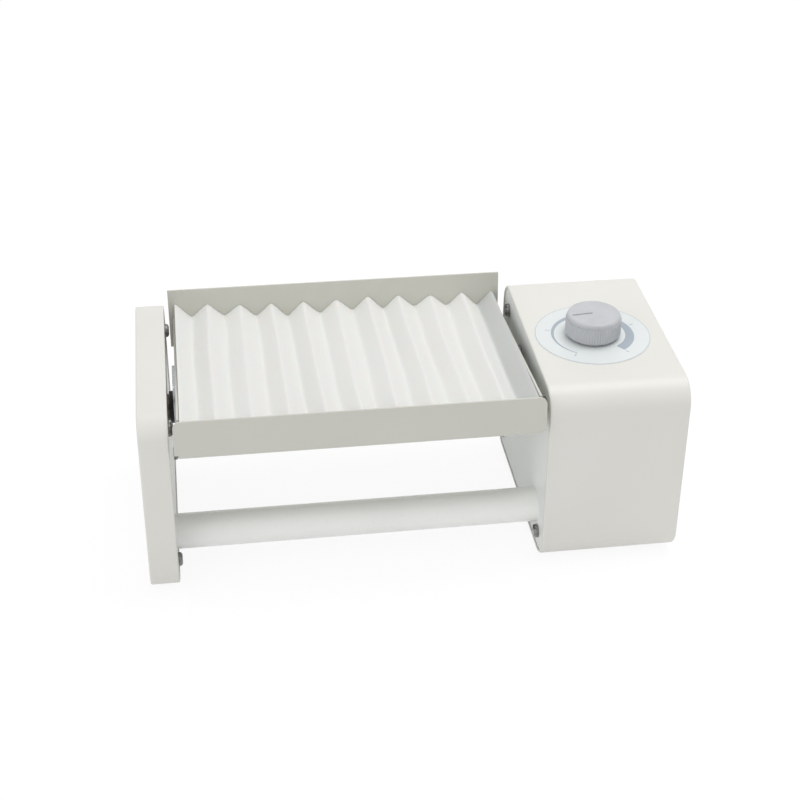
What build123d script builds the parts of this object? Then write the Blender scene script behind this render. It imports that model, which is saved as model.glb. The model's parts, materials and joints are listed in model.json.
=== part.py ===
from build123d import *
import math
import os

os.makedirs("parts", exist_ok=True)

# Bench tube rocker. A foam-lined sheet-metal tray see-saws about a lengthwise axis
# between a slim end post and a drive housing, joined low down by a round crossbar.
# X runs along the instrument, Y to the back, Z up. The feet stand on Z = 0.

# Body envelope
foot_height = 3.0
foot_radius = 6.0
body_depth = 164.0
body_height = 135.5
corner_radius = 17.0
post_width = 19.5
housing_width = 95.0
tray_span = 245.5

# Painted steel skins
shell_wall = 2.0
outer_edge_round = 1.2
panel_thick = 2.0
panel_inset = 0.8
panel_gap = 0.3

# Pan-head screws of the side panels
screw_side_inset = 18.5
screw_top_inset = 17.0
screw_bottom_inset = 14.0
screw_shank_radius = 2.4
screw_head_radius = 4.75
screw_head_height = 3.4
screw_length = 10.0
screw_clearance = 0.1
boss_radius = 5.5

# Crossbar between post and housing
bar_radius = 12.0
bar_wall = 1.5
bar_front_inset = 30.5
bar_height = 28.5
bar_plug_length = 15.0
bar_bolt_radius = 3.0
bar_bolt_length = 15.0
bar_bolt_head_radius = 5.0
bar_bolt_head_height = 4.0
bar_washer_radius = 6.5
bar_washer_thick = 1.2

# Tray, in its own frame: origin on the pivot axis, tilted with the front up
pivot_height = 95.0
tray_tilt = 6.7
tray_gap = 2.8
tray_width = 174.0
tray_sheet = 1.5
tray_floor_rise = 4.1
tray_front_height = 26.5
tray_back_height = 46.3
tray_end_height = 26.3
tray_tab = 2.7
tray_slit = 0.4
tray_notch = 2.2
tray_bend_radius = 2.5
tray_corner_round = 5.0
tray_relief = 3.0

# Wavy foam mat
mat_waves = 10
mat_side_gap = 0.3
mat_seat_gap = 0.3
mat_valley_thick = 21.5
mat_wave_height = 9.0
mat_wave_round = 3.0

# Pivot plates, hubs and shafts
plate_thick = 2.0
plate_width = 46.0
plate_drop = 15.5
plate_rise = 24.5
plate_corner = 12.0
rivet_radius = 1.6
rivet_spread = 7.0
rivet_rise = 20.0
rivet_clearance = 0.05
hub_radius = 11.0
hub_clearance = 0.3
hub_screw_circle = 7.6
hub_screw_radius = 1.2
hub_screw_length = 3.4
hub_screw_drive = 0.55
shaft_radius = 4.0
shaft_clearance = 0.04

# Plain bush in the post
bush_radius = 6.0
bush_flange_radius = 9.0
bush_flange_thick = 1.0
bush_barrel_length = 7.0
clip_radius = 6.5
clip_thick = 1.0
clip_groove_radius = 3.2
clip_gap = 0.3
pin_tail = 1.5

# Ball bearings and their flanged housing behind the drive panel
bearing_radius = 11.0
bearing_width = 7.0
bearing_inner_race = 5.6
bearing_outer_race = 9.4
bearing_groove = 0.5
bearing_spacer = 1.0
bearing_fit = 0.03
flange_radius = 29.5
flange_thick = 4.0
flange_lip = 2.0
flange_bore_radius = 7.0
barrel_radius = 15.0
ring_thick = 1.0
ring_groove_depth = 0.7
flange_screw_circle = 23.8
flange_screw_angle = 40.0
flange_screw_length = 6.0
panel_shaft_hole = 7.0

# Spur gears, module in millimetres
gear_module = 1.0
gear_teeth = 54
pinion_teeth = 18
gear_pressure_angle = 20.0
tooth_side_gap = 0.3
gear_offset = 1.0
gear_face = 7.0
gear_hub_radius = 9.0
gear_hub_length = 6.0
gear_web_cut = 1.5
pinion_overlap = 0.5
pinion_hub_radius = 6.0
pinion_hub_length = 3.5
shaft_tail = 1.0
grub_radius = 1.5
grub_length = 4.0
grub_clearance = 0.05

# Geared motor
motor_angle = -60.0
motor_shaft_radius = 3.0
gearbox_radius = 18.5
gearbox_length = 27.0
gearbox_nose_radius = 6.0
motor_radius = 17.3
motor_length = 24.0
motor_shaft_depth = 10.0
motor_screw_circle = 15.5
motor_screw_radius = 1.5
motor_screw_head = 2.75
motor_screw_head_height = 1.8
motor_screw_length = 6.0

# Motor bracket
bracket_thick = 2.0
bracket_gap = 0.5
bracket_half_width = 22.0
bracket_top_margin = 20.5
bracket_foot_length = 24.0
bracket_screw_radius = 2.0
bracket_screw_head = 3.8
bracket_screw_head_height = 2.2
bracket_screw_length = 4.0

# Speed control
knob_x_offset = -2.8
knob_y = -7.2
knob_radius = 19.1
knob_height = 15.9
knob_rib_depth = 0.5
knob_ribs = 64
knob_gap = 1.0
knob_cap_height = 3.6
knob_cap_inset = 0.25
knob_edge_round = 2.2
knob_foot_inset = 1.8
knob_foot_height = 1.5
knob_cavity_radius = 9.0
knob_cavity_height = 6.0
knob_top_thick = 3.4
pointer_angle = 186.0
pointer_start = 1.0
pointer_end = 15.5
pointer_width = 1.3
pointer_depth = 0.7
dial_radius = 39.8
dial_thick = 0.4
pot_radius = 8.5
pot_length = 9.0
pot_bush_radius = 4.5
pot_bush_length = 6.0
pot_shaft_radius = 3.0
pot_nut_flats = 12.0
pot_nut_thick = 2.2

# Control board
board_length = 80.0
board_width = 38.0
board_thick = 1.6
board_height = 107.0
board_hole_inset = 4.0
standoff_radius = 3.0
standoff_length = 6.0
board_screw_radius = 1.4
board_screw_head = 2.7
board_screw_head_height = 1.7

# Low-voltage power socket in the back
socket_right_inset = 30.0
socket_height = 37.0
socket_flange_radius = 7.5
socket_flange_thick = 1.6
socket_radius = 5.5
socket_length = 13.0
socket_bore = 3.2
socket_bore_depth = 9.5
socket_pin = 1.0
socket_nut_flats = 14.0
socket_nut_thick = 2.5

# Rubber feet
foot_edge_inset = 27.5
foot_row_inset = 14.5
foot_screw_radius = 1.7
foot_screw_head = 3.2
foot_screw_head_height = 1.6
foot_recess_depth = 1.9
foot_screw_length = 4.5
foot_recess_clearance = 0.3

# Places that follow from the sizes. The pivot axis stands a little in front of the
# origin, so that the whole part, tilted tray included, is centred over the origin.
tilt_sin = math.sin(math.radians(tray_tilt))
tilt_cos = math.cos(math.radians(tray_tilt))
y_mid = -(2 * tray_floor_rise + tray_back_height + tray_bend_radius) * tilt_sin / 2
x_left = -(post_width + tray_span + housing_width) / 2
x_post = x_left + post_width
x_house = x_post + tray_span
x_right = x_house + housing_width
z_floor = foot_height
z_top = z_floor + body_height
z_mid = z_floor + body_height / 2
y_front = -body_depth / 2
y_back = body_depth / 2
pivot_z = z_floor + pivot_height
post_panel_face = x_post - panel_inset
post_panel_back = post_panel_face - panel_thick
drive_panel_face = x_house + panel_inset
drive_panel_back = drive_panel_face + panel_thick
outer_panel_face = x_right - panel_inset
outer_panel_back = outer_panel_face - panel_thick
bar_y = y_front + bar_front_inset
bar_z = z_floor + bar_height
tray_x0 = x_post + tray_gap
tray_x1 = x_house - tray_gap
end_x0 = tray_x0 + tray_tab
end_x1 = tray_x1 - tray_tab
tray_half = tray_width / 2
floor_z = tray_floor_rise
front_z = floor_z + tray_front_height
back_z = floor_z + tray_back_height
end_z = floor_z + tray_end_height
foot_y = body_depth / 2 - foot_edge_inset
post_feet = [(x_left + post_width / 2, y) for y in (-foot_y, foot_y)]
housing_feet = [
    (x, y)
    for x in (x_house + foot_row_inset, x_right - foot_row_inset)
    for y in (-foot_y, foot_y)
]
corner_screws = [
    (side_sign * (body_depth / 2 - screw_side_inset), z)
    for side_sign in (-1, 1)
    for z in (z_floor + screw_bottom_inset, z_top - screw_top_inset)
]


def level(z):
    """Level plane at height z, centred on the pivot axis."""
    return Plane(origin=(0, y_mid, z), x_dir=(1, 0, 0), z_dir=(0, 0, 1))


def side(x):
    """Upright plane across the instrument at x, with its own x to the back and y up."""
    return Plane(origin=(x, y_mid, 0), x_dir=(0, 1, 0), z_dir=(1, 0, 0))


def facing(x, y, z, direction):
    """Plane at a point on a side wall whose normal looks along +X or -X."""
    return Plane(origin=(x, y_mid + y, z), x_dir=(0, 1, 0), z_dir=(direction, 0, 0))


def tray_side(x):
    """The same upright plane, tilted with the tray about the pivot axis."""
    return Plane(origin=(x, y_mid, pivot_z), x_dir=(0, tilt_cos, -tilt_sin), z_dir=(1, 0, 0))


def tray_back_plane(y):
    """Plane across the tray at its own depth y, looking to the front."""
    return Plane(
        origin=(0, y_mid + y * tilt_cos, pivot_z - y * tilt_sin),
        x_dir=(1, 0, 0),
        z_dir=(0, -tilt_cos, tilt_sin),
    )


def back_wall(x, z):
    """Plane at a point on the outside of the back wall, looking to the front."""
    return Plane(origin=(x, y_mid + y_back, z), x_dir=(1, 0, 0), z_dir=(0, -1, 0))


def body_outline(shrink):
    """Rounded outline shared by post, housing and panels, shrunk on every side."""
    with Locations((0, z_mid)):
        RectangleRounded(
            body_depth - 2 * shrink,
            body_height - 2 * shrink,
            max(corner_radius - shrink, 0.5),
        )


# Left post: a shallow dish that opens towards the tray, with four screw bosses
with BuildPart() as post_shell:
    with BuildSketch(side(x_left)):
        body_outline(0)
    extrude(amount=post_width)
    fillet(post_shell.faces().sort_by(Axis.X)[0].edges(), radius=outer_edge_round)
    with BuildSketch(side(x_left + shell_wall)):
        body_outline(shell_wall)
    extrude(amount=post_width - shell_wall, mode=Mode.SUBTRACT)
    fillet(post_shell.faces().sort_by(Axis.X)[-1].outer_wire().edges(), radius=outer_edge_round)
    with BuildSketch(side(x_left + shell_wall)):
        with Locations(*corner_screws):
            Circle(boss_radius)
    extrude(amount=post_panel_back - x_left - shell_wall)
    with BuildSketch(side(post_panel_back)):
        with Locations(*corner_screws):
            Circle(screw_shank_radius + screw_clearance)
    extrude(amount=-(screw_length - panel_thick + 1), mode=Mode.SUBTRACT)
    with BuildSketch(level(z_floor)):
        with Locations(*post_feet):
            Circle(foot_screw_radius + screw_clearance)
    extrude(amount=shell_wall, mode=Mode.SUBTRACT)
post_shell.part.label = "post_shell"
export_step(post_shell.part, "parts/post_shell.step")

# Inner panel of the post, set just inside the rim
with BuildPart() as post_panel:
    with BuildSketch(side(post_panel_back)):
        body_outline(shell_wall + panel_gap)
        with Locations(*corner_screws):
            Circle(screw_shank_radius + screw_clearance, mode=Mode.SUBTRACT)
        with Locations((0, pivot_z)):
            Circle(bush_radius + bearing_fit, mode=Mode.SUBTRACT)
        with Locations((bar_y, bar_z)):
            Circle(bar_bolt_radius + screw_clearance, mode=Mode.SUBTRACT)
    extrude(amount=panel_thick)
post_panel.part.label = "post_panel"
export_step(post_panel.part, "parts/post_panel.step")

# Drive housing: one wrapped sheet, open at both sides
socket_x = x_right - socket_right_inset
socket_z = z_floor + socket_height
knob_x = (x_house + x_right) / 2 + knob_x_offset
motor_y = (gear_teeth + pinion_teeth) * gear_module / 2 * math.cos(math.radians(motor_angle))
motor_z = pivot_z + (gear_teeth + pinion_teeth) * gear_module / 2 * math.sin(math.radians(motor_angle))
bearing_x0 = drive_panel_back + flange_lip
bearing_x1 = bearing_x0 + 2 * bearing_width + bearing_spacer
barrel_x1 = bearing_x1 + 2 * ring_thick
gear_x0 = barrel_x1 + gear_offset
gear_x1 = gear_x0 + gear_face
gear_hub_x1 = gear_x1 + gear_hub_length
bracket_x0 = gear_hub_x1 - bracket_gap
bracket_x1 = bracket_x0 + bracket_thick
bracket_screws = [
    (bracket_x1 + bracket_foot_length * 0.55, motor_y + s * bracket_half_width * 0.6) for s in (-1, 1)
]

with BuildPart() as housing_shell:
    with BuildSketch(side(x_house)):
        body_outline(0)
    extrude(amount=housing_width)
    with BuildSketch(side(x_house)):
        body_outline(shell_wall)
    extrude(amount=housing_width, mode=Mode.SUBTRACT)
    fillet(housing_shell.faces().sort_by(Axis.X)[0].outer_wire().edges(), radius=outer_edge_round)
    fillet(housing_shell.faces().sort_by(Axis.X)[-1].outer_wire().edges(), radius=outer_edge_round)
    with BuildSketch(level(z_top - shell_wall)):
        with Locations((knob_x, knob_y)):
            Circle(pot_bush_radius + screw_clearance)
    extrude(amount=shell_wall, mode=Mode.SUBTRACT)
    with BuildSketch(level(z_floor)):
        with Locations(*housing_feet):
            Circle(foot_screw_radius + screw_clearance)
        with Locations(*bracket_screws):
            Circle(bracket_screw_radius + screw_clearance)
    extrude(amount=shell_wall, mode=Mode.SUBTRACT)
    with BuildSketch(back_wall(socket_x, socket_z)):
        Circle(socket_radius + screw_clearance)
    extrude(amount=shell_wall, mode=Mode.SUBTRACT)
housing_shell.part.label = "housing_shell"
export_step(housing_shell.part, "parts/housing_shell.step")

# Three screws hold the bearing flange; their holes repeat in panel and flange
flange_screws = [
    (
        flange_screw_circle * math.cos(math.radians(flange_screw_angle + 120 * k)),
        pivot_z + flange_screw_circle * math.sin(math.radians(flange_screw_angle + 120 * k)),
    )
    for k in range(3)
]

# Panel that faces the tray
with BuildPart() as drive_panel:
    with BuildSketch(side(drive_panel_face)):
        body_outline(shell_wall + panel_gap)
        with Locations(*corner_screws, *flange_screws):
            Circle(screw_shank_radius + screw_clearance, mode=Mode.SUBTRACT)
        with Locations((0, pivot_z)):
            Circle(panel_shaft_hole, mode=Mode.SUBTRACT)
        with Locations((bar_y, bar_z)):
            Circle(bar_bolt_radius + screw_clearance, mode=Mode.SUBTRACT)
    extrude(amount=panel_thick)
drive_panel.part.label = "drive_panel"
export_step(drive_panel.part, "parts/drive_panel.step")

# Panel on the far side
with BuildPart() as outer_panel:
    with BuildSketch(side(outer_panel_back)):
        body_outline(shell_wall + panel_gap)
        with Locations(*corner_screws):
            Circle(screw_shank_radius + screw_clearance, mode=Mode.SUBTRACT)
    extrude(amount=panel_thick)
outer_panel.part.label = "outer_panel"
export_step(outer_panel.part, "parts/outer_panel.step")

# Four rods hold the two housing panels apart and take their screws
with BuildPart() as panel_spacers:
    with BuildSketch(side(drive_panel_back)):
        with Locations(*corner_screws):
            Circle(boss_radius)
    extrude(amount=outer_panel_back - drive_panel_back)
    with BuildSketch(side(drive_panel_back)):
        with Locations(*corner_screws):
            Circle(screw_shank_radius + screw_clearance)
    extrude(amount=screw_length - panel_thick + 1, mode=Mode.SUBTRACT)
    with BuildSketch(side(outer_panel_back)):
        with Locations(*corner_screws):
            Circle(screw_shank_radius + screw_clearance)
    extrude(amount=-(screw_length - panel_thick + 1), mode=Mode.SUBTRACT)
panel_spacers.part.label = "panel_spacers"
export_step(panel_spacers.part, "parts/panel_spacers.step")


def pan_screw(shank_radius, length, head_radius, head_height, drive_width):
    """Pan-head screw with a cross recess; the head sits on its local XY plane."""
    with BuildPart() as screw:
        with BuildSketch():
            Circle(head_radius)
        extrude(amount=head_height)
        fillet(screw.edges().filter_by(GeomType.CIRCLE).sort_by(Axis.Z)[-1], radius=head_height * 0.6)
        with BuildSketch():
            Circle(shank_radius)
        extrude(amount=-length)
        with BuildSketch(level(head_height)):
            Rectangle(head_radius * 1.15, drive_width)
            Rectangle(drive_width, head_radius * 1.15)
        extrude(amount=-head_height * 0.6, mode=Mode.SUBTRACT)
    return screw.part


# Side panel screws: four in the post, four on each side of the housing
long_screw = pan_screw(screw_shank_radius, screw_length, screw_head_radius, screw_head_height, 1.3)
with BuildPart() as panel_screws:
    for y, z in corner_screws:
        with Locations(facing(post_panel_face, y, z, 1).location):
            add(long_screw)
        with Locations(facing(drive_panel_face, y, z, -1).location):
            add(long_screw)
        with Locations(facing(outer_panel_face, y, z, 1).location):
            add(long_screw)
panel_screws.part.label = "panel_screws"
export_step(panel_screws.part, "parts/panel_screws.step")

# Screws of the bearing flange, seen above the end wall of the tray
short_screw = pan_screw(screw_shank_radius, flange_screw_length, screw_head_radius, screw_head_height, 1.3)
with BuildPart() as bearing_screws:
    for y, z in flange_screws:
        with Locations(facing(drive_panel_face, y, z, -1).location):
            add(short_screw)
bearing_screws.part.label = "bearing_screws"
export_step(bearing_screws.part, "parts/bearing_screws.step")

# Crossbar tube and what clamps it
with BuildPart() as crossbar:
    with BuildSketch(side(post_panel_face)):
        with Locations((bar_y, bar_z)):
            Circle(bar_radius)
            Circle(bar_radius - bar_wall, mode=Mode.SUBTRACT)
    extrude(amount=drive_panel_face - post_panel_face)
crossbar.part.label = "crossbar"
export_step(crossbar.part, "parts/crossbar.step")

with BuildPart() as crossbar_plugs:
    for x, direction in ((post_panel_face, 1), (drive_panel_face, -1)):
        with BuildSketch(side(x)):
            with Locations((bar_y, bar_z)):
                Circle(bar_radius - bar_wall - bearing_fit)
                Circle(bar_bolt_radius + screw_clearance, mode=Mode.SUBTRACT)
        extrude(amount=direction * bar_plug_length)
crossbar_plugs.part.label = "crossbar_plugs"
export_step(crossbar_plugs.part, "parts/crossbar_plugs.step")

with BuildPart() as crossbar_washers:
    for x, direction in ((post_panel_back, -1), (drive_panel_back, 1)):
        with BuildSketch(side(x)):
            with Locations((bar_y, bar_z)):
                Circle(bar_washer_radius)
                Circle(bar_bolt_radius + screw_clearance, mode=Mode.SUBTRACT)
        extrude(amount=direction * bar_washer_thick)
crossbar_washers.part.label = "crossbar_washers"
export_step(crossbar_washers.part, "parts/crossbar_washers.step")

with BuildPart() as crossbar_bolts:
    for x, direction in (
        (post_panel_back - bar_washer_thick, -1),
        (drive_panel_back + bar_washer_thick, 1),
    ):
        with BuildSketch(side(x)):
            with Locations((bar_y, bar_z)):
                Circle(bar_bolt_head_radius)
        extrude(amount=direction * bar_bolt_head_height)
        with BuildSketch(side(x)):
            with Locations((bar_y, bar_z)):
                Circle(bar_bolt_radius)
        extrude(amount=-direction * bar_bolt_length)
        with BuildSketch(side(x + direction * bar_bolt_head_height)):
            with Locations((bar_y, bar_z)):
                RegularPolygon(bar_bolt_radius * 0.95, 6)
        extrude(amount=-direction * bar_bolt_head_height * 0.6, mode=Mode.SUBTRACT)
crossbar_bolts.part.label = "crossbar_bolts"
export_step(crossbar_bolts.part, "parts/crossbar_bolts.step")

# Rubber feet and their screws
with BuildPart() as rubber_feet:
    with BuildSketch(level(0)):
        with Locations(*housing_feet, *post_feet):
            Circle(foot_radius)
            Circle(foot_screw_radius + screw_clearance, mode=Mode.SUBTRACT)
    extrude(amount=foot_height)
    with BuildSketch(level(0)):
        with Locations(*housing_feet, *post_feet):
            Circle(foot_screw_head + foot_recess_clearance)
    extrude(amount=foot_recess_depth, mode=Mode.SUBTRACT)
rubber_feet.part.label = "rubber_feet"
export_step(rubber_feet.part, "parts/rubber_feet.step")

with BuildPart() as foot_screws:
    with BuildSketch(level(foot_recess_depth)):
        with Locations(*housing_feet, *post_feet):
            Circle(foot_screw_head)
    extrude(amount=-foot_screw_head_height)
    with BuildSketch(level(foot_recess_depth)):
        with Locations(*housing_feet, *post_feet):
            Circle(foot_screw_radius)
    extrude(amount=foot_screw_length)
foot_screws.part.label = "foot_screws"
export_step(foot_screws.part, "parts/foot_screws.step")

# Tray: floor bent up into front and back walls, then end walls with corner slits
with BuildPart() as tray:
    with BuildSketch(tray_side(end_x0)) as channel:
        with BuildLine():
            Polyline(
                (-tray_half, floor_z),
                (-tray_half, front_z),
                (-tray_half + tray_sheet, front_z),
                (-tray_half + tray_sheet, floor_z + tray_sheet),
                (tray_half - tray_sheet, floor_z + tray_sheet),
                (tray_half - tray_sheet, back_z),
                (tray_half, back_z),
                (tray_half, floor_z),
                close=True,
            )
        make_face()
        fillet(channel.vertices().group_by(Axis.Y)[0], radius=tray_bend_radius)
    extrude(amount=end_x1 - end_x0)
    with BuildSketch(tray_side(tray_x0)):
        with Locations((-tray_half + tray_sheet / 2, (floor_z + tray_relief + front_z) / 2)):
            Rectangle(tray_sheet, front_z - floor_z - tray_relief)
        with Locations((tray_half - tray_sheet / 2, (floor_z + tray_relief + back_z) / 2)):
            Rectangle(tray_sheet, back_z - floor_z - tray_relief)
    extrude(amount=tray_x1 - tray_x0)
    for x, direction in ((end_x0, 1), (end_x1, -1)):
        end_half = tray_half - tray_sheet - tray_slit
        with BuildSketch(tray_side(x)):
            with BuildLine():
                Polyline(
                    (-end_half, floor_z + tray_sheet / 2),
                    (-end_half, end_z - tray_notch),
                    (-end_half + tray_notch, end_z - tray_notch),
                    (-end_half + tray_notch, end_z),
                    (end_half - tray_notch, end_z),
                    (end_half - tray_notch, end_z - tray_notch),
                    (end_half, end_z - tray_notch),
                    (end_half, floor_z + tray_sheet / 2),
                    close=True,
                )
            make_face()
            with Locations((-rivet_spread, rivet_rise), (rivet_spread, rivet_rise)):
                Circle(rivet_radius + rivet_clearance, mode=Mode.SUBTRACT)
        extrude(amount=direction * tray_sheet)
    back_corners = tray.edges().filter_by(Axis((0, 0, 0), (0, tilt_cos, -tilt_sin))).filter_by(
        lambda e: abs(abs(e.center().X - (tray_x0 + tray_x1) / 2) - (tray_x1 - tray_x0) / 2) < 0.01
    ).sort_by(Axis.Z)[-2:]
    fillet(back_corners, radius=tray_corner_round)
tray.part.label = "tray"
export_step(tray.part, "parts/tray.step")

# Foam mat: a flat base with a rounded zigzag top, crests against both end walls
mat_x0 = end_x0 + tray_sheet + mat_side_gap
mat_x1 = end_x1 - tray_sheet - mat_side_gap
mat_bottom = floor_z + tray_sheet + mat_seat_gap
mat_low = mat_bottom + mat_valley_thick
mat_high = mat_low + mat_wave_height
mat_y = tray_half - tray_sheet - mat_side_gap
mat_pitch = (mat_x1 - mat_x0) / mat_waves
wave_points = [(mat_x0, mat_bottom), (mat_x0, mat_high)]
for wave in range(mat_waves):
    wave_points.append((mat_x0 + (wave + 0.5) * mat_pitch, mat_low))
    wave_points.append((mat_x0 + (wave + 1) * mat_pitch, mat_high))
wave_points.append((mat_x1, mat_bottom))
with BuildPart() as wave_mat:
    with BuildSketch(tray_back_plane(mat_y)) as wave_face:
        with BuildLine():
            Polyline(*wave_points, close=True)
        make_face()
        turns = wave_face.vertices().filter_by(
            lambda v: v.Y > mat_low - 0.01 and mat_x0 + 0.01 < v.X < mat_x1 - 0.01
        )
        fillet(turns, radius=mat_wave_round)
    extrude(amount=2 * mat_y)
wave_mat.part.label = "wave_mat"
export_step(wave_mat.part, "parts/wave_mat.step")

# Pivot plates riveted to the end walls, hanging just below the floor of the tray
for plate_name, x0 in (("idle_pivot_plate", end_x0 - plate_thick), ("drive_pivot_plate", end_x1)):
    with BuildPart() as pivot_plate:
        with BuildSketch(tray_side(x0)):
            with Locations((0, (plate_rise - plate_drop) / 2)):
                RectangleRounded(plate_width, plate_rise + plate_drop, plate_corner)
            Circle(shaft_radius + shaft_clearance, mode=Mode.SUBTRACT)
            with Locations((-rivet_spread, rivet_rise), (rivet_spread, rivet_rise)):
                Circle(rivet_radius + rivet_clearance, mode=Mode.SUBTRACT)
            with PolarLocations(hub_screw_circle, 3, start_angle=90):
                Circle(hub_screw_radius + rivet_clearance, mode=Mode.SUBTRACT)
        extrude(amount=plate_thick)
    pivot_plate.part.label = plate_name
    export_step(pivot_plate.part, "parts/" + plate_name + ".step")

with BuildPart() as plate_rivets:
    for x in (end_x0 - plate_thick, end_x1 - tray_sheet):
        with BuildSketch(tray_side(x)):
            with Locations((-rivet_spread, rivet_rise), (rivet_spread, rivet_rise)):
                Circle(rivet_radius)
        extrude(amount=plate_thick + tray_sheet)
plate_rivets.part.label = "plate_rivets"
export_step(plate_rivets.part, "parts/plate_rivets.step")

# Black hubs on the outside of the pivot plates
idle_hub_x0 = post_panel_face + bush_flange_thick + hub_clearance
idle_hub_x1 = end_x0 - plate_thick
drive_hub_x0 = end_x1 + plate_thick
drive_hub_x1 = drive_panel_face - bush_flange_thick - hub_clearance
for hub_name, x0, x1 in (("idle_hub", idle_hub_x0, idle_hub_x1), ("drive_hub", drive_hub_x0, drive_hub_x1)):
    with BuildPart() as hub:
        with BuildSketch(tray_side(x0)):
            Circle(hub_radius)
            Circle(shaft_radius + shaft_clearance, mode=Mode.SUBTRACT)
            with PolarLocations(hub_screw_circle, 3, start_angle=90):
                Circle(hub_screw_radius + rivet_clearance, mode=Mode.SUBTRACT)
        extrude(amount=x1 - x0)
    hub.part.label = hub_name
    export_step(hub.part, "parts/" + hub_name + ".step")

with BuildPart() as hub_screws:
    for x, direction in ((idle_hub_x0, 1), (drive_hub_x1, -1)):
        with BuildSketch(tray_side(x)):
            with PolarLocations(hub_screw_circle, 3, start_angle=90):
                Circle(hub_screw_radius)
        extrude(amount=direction * hub_screw_length)
        with BuildSketch(tray_side(x)):
            with PolarLocations(hub_screw_circle, 3, start_angle=90):
                RegularPolygon(hub_screw_drive, 6)
        extrude(amount=direction * hub_screw_drive, mode=Mode.SUBTRACT)
hub_screws.part.label = "hub_screws"
export_step(hub_screws.part, "parts/hub_screws.step")

# Plain flanged bush in the post panel, with the idle pin and its retaining clip
bush_end = post_panel_face - bush_barrel_length
with BuildPart() as idle_bush:
    with BuildSketch(side(post_panel_face)):
        with Locations((0, pivot_z)):
            Circle(bush_flange_radius)
    extrude(amount=bush_flange_thick)
    with BuildSketch(side(post_panel_face)):
        with Locations((0, pivot_z)):
            Circle(bush_radius)
    extrude(amount=-bush_barrel_length)
    with BuildSketch(side(bush_end)):
        with Locations((0, pivot_z)):
            Circle(shaft_radius + shaft_clearance)
    extrude(amount=bush_barrel_length + bush_flange_thick, mode=Mode.SUBTRACT)
idle_bush.part.label = "idle_bush"
export_step(idle_bush.part, "parts/idle_bush.step")

clip_x1 = bush_end - clip_gap
clip_x0 = clip_x1 - clip_thick
with BuildPart() as idle_pin:
    with BuildSketch(tray_side(clip_x0 - pin_tail)):
        Circle(shaft_radius)
    extrude(amount=end_x0 - clip_x0 + pin_tail)
    with BuildSketch(tray_side(clip_x0)):
        Circle(shaft_radius)
        Circle(clip_groove_radius, mode=Mode.SUBTRACT)
    extrude(amount=clip_thick, mode=Mode.SUBTRACT)
idle_pin.part.label = "idle_pin"
export_step(idle_pin.part, "parts/idle_pin.step")

with BuildPart() as idle_clip:
    with BuildSketch(tray_side(clip_x0)):
        Circle(clip_radius)
        Circle(clip_groove_radius + shaft_clearance, mode=Mode.SUBTRACT)
        with Locations((0, -clip_radius)):
            Rectangle(2 * clip_groove_radius, 2 * clip_radius, mode=Mode.SUBTRACT)
    extrude(amount=clip_thick)
idle_clip.part.label = "idle_clip"
export_step(idle_clip.part, "parts/idle_clip.step")

# Flanged bearing housing behind the drive panel
with BuildPart() as bearing_housing:
    with BuildSketch(side(drive_panel_back)):
        with Locations((0, pivot_z)):
            Circle(flange_radius)
        with Locations(*flange_screws):
            Circle(screw_shank_radius + screw_clearance, mode=Mode.SUBTRACT)
    extrude(amount=flange_thick)
    with BuildSketch(side(drive_panel_back)):
        with Locations((0, pivot_z)):
            Circle(barrel_radius)
    extrude(amount=barrel_x1 - drive_panel_back)
    with BuildSketch(side(drive_panel_back)):
        with Locations((0, pivot_z)):
            Circle(flange_bore_radius)
    extrude(amount=flange_lip, mode=Mode.SUBTRACT)
    with BuildSketch(side(bearing_x0)):
        with Locations((0, pivot_z)):
            Circle(bearing_radius + bearing_fit)
    extrude(amount=barrel_x1 - bearing_x0, mode=Mode.SUBTRACT)
    with BuildSketch(side(bearing_x1)):
        with Locations((0, pivot_z)):
            Circle(bearing_radius + ring_groove_depth)
    extrude(amount=ring_thick, mode=Mode.SUBTRACT)
bearing_housing.part.label = "bearing_housing"
export_step(bearing_housing.part, "parts/bearing_housing.step")

with BuildPart() as ball_bearings:
    for x in (bearing_x0, bearing_x1 - bearing_width):
        with BuildSketch(side(x)):
            with Locations((0, pivot_z)):
                Circle(bearing_radius)
                Circle(shaft_radius + shaft_clearance, mode=Mode.SUBTRACT)
        extrude(amount=bearing_width)
        for face_x, direction in ((x, 1), (x + bearing_width, -1)):
            with BuildSketch(side(face_x)):
                with Locations((0, pivot_z)):
                    Circle(bearing_outer_race)
                    Circle(bearing_inner_race, mode=Mode.SUBTRACT)
            extrude(amount=direction * bearing_groove, mode=Mode.SUBTRACT)
ball_bearings.part.label = "ball_bearings"
export_step(ball_bearings.part, "parts/ball_bearings.step")

with BuildPart() as bearing_spacer_ring:
    with BuildSketch(side(bearing_x0 + bearing_width)):
        with Locations((0, pivot_z)):
            Circle(bearing_radius)
            Circle(bearing_outer_race, mode=Mode.SUBTRACT)
    extrude(amount=bearing_spacer)
bearing_spacer_ring.part.label = "bearing_spacer_ring"
export_step(bearing_spacer_ring.part, "parts/bearing_spacer_ring.step")

with BuildPart() as bearing_retaining_ring:
    with BuildSketch(side(bearing_x1)):
        with Locations((0, pivot_z)):
            Circle(bearing_radius + ring_groove_depth - bearing_fit)
            Circle(bearing_outer_race, mode=Mode.SUBTRACT)
            Rectangle(ring_groove_depth * 8, 2 * bearing_radius, align=(Align.CENTER, Align.MAX), mode=Mode.SUBTRACT)
    extrude(amount=ring_thick)
bearing_retaining_ring.part.label = "bearing_retaining_ring"
export_step(bearing_retaining_ring.part, "parts/bearing_retaining_ring.step")

# Drive shaft from the hub of the tray into the housing
shaft_x1 = gear_hub_x1 + shaft_tail
with BuildPart() as drive_shaft:
    with BuildSketch(tray_side(end_x1)):
        Circle(shaft_radius)
    extrude(amount=shaft_x1 - end_x1)
drive_shaft.part.label = "drive_shaft"
export_step(drive_shaft.part, "parts/drive_shaft.step")


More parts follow.
